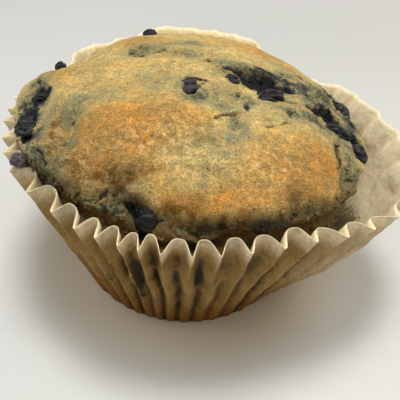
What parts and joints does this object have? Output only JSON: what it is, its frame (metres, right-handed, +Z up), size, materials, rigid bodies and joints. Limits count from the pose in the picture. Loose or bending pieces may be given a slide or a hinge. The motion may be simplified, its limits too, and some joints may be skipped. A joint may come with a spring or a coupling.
{
  "type": "berry muffin in a paper case",
  "caption": "Large baked berry muffin with a low uneven crown, in a fluted brown paper case that is peeled open on one side.",
  "frame": {"origin": "centre of the paper case's flat base, on the surface it stands on", "axes": "+Z up; -Y is the front that faces the picture's camera; +X is the side where the paper is peeled open"},
  "size_m": [0.1014, 0.0933, 0.0584],
  "materials": {
    "crumb": null,
    "baking_paper": "unbleached greaseproof paper, thin and slightly see-through, softly shiny where fat has soaked in",
    "berry": null
  },
  "bodies": {
    "root": {"muffin": "crumb", "paper_case": "baking_paper", "berry_top": "berry", "berry_burst": "berry", "berry_collapsed": "berry", "berry_right": "berry", "berry_right_edge": "berry", "berry_right_back": "berry", "berry_left_upper": "berry", "berry_left": "berry", "berry_front": "berry", "berry_front_right": "berry", "berry_rim": "berry", "berry_back": "berry", "berry_back_left": "berry"}
  },
  "joints": []
}
